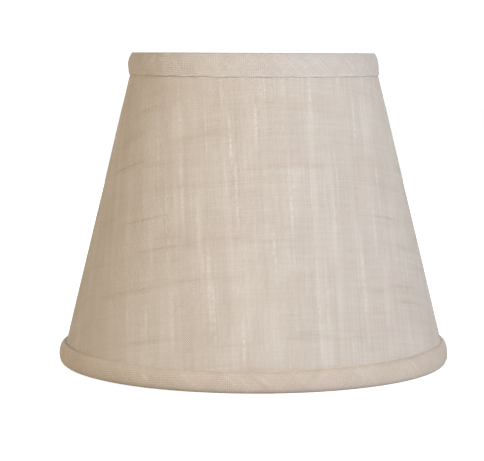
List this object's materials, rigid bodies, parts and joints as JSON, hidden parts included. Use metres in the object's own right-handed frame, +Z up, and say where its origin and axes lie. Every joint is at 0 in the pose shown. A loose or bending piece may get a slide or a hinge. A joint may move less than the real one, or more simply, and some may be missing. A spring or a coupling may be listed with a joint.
{
  "type": "lamp shade",
  "caption": "Tapered round lamp shade in slub linen on a stiff liner, with folded cloth trims on both rims and a wire spider fitter with a washer.",
  "frame": {"origin": "on the shade's axis, on the plane that the base rim stands on", "axes": "+Z up along the axis, from the wide base to the narrow top; the cover's lap seam is at the back, on +Y, and the front is -Y"},
  "size_m": [0.2554, 0.256, 0.2032],
  "materials": {
    "linen": "slub plain weave, matte",
    "trim_cloth": "bias-cut plain weave, matte",
    "styrene": "satin sheet",
    "fitter_wire": "brass-plated steel, satin",
    "glue": "dried fabric glue",
    "seam_adhesive": "double-sided film"
  },
  "bodies": {
    "root": {"linen_cover": "linen", "styrene_liner": "styrene", "seam_tape": "seam_adhesive", "top_ring": "fitter_wire", "base_ring": "fitter_wire", "spider_arm_1": "fitter_wire", "spider_arm_2": "fitter_wire", "spider_arm_3": "fitter_wire", "fitter_washer": "fitter_wire", "arm_ring_welds": "fitter_wire", "arm_washer_welds": "fitter_wire", "top_trim": "trim_cloth", "base_trim": "trim_cloth", "top_trim_glue": "glue", "base_trim_glue": "glue"}
  },
  "joints": []
}
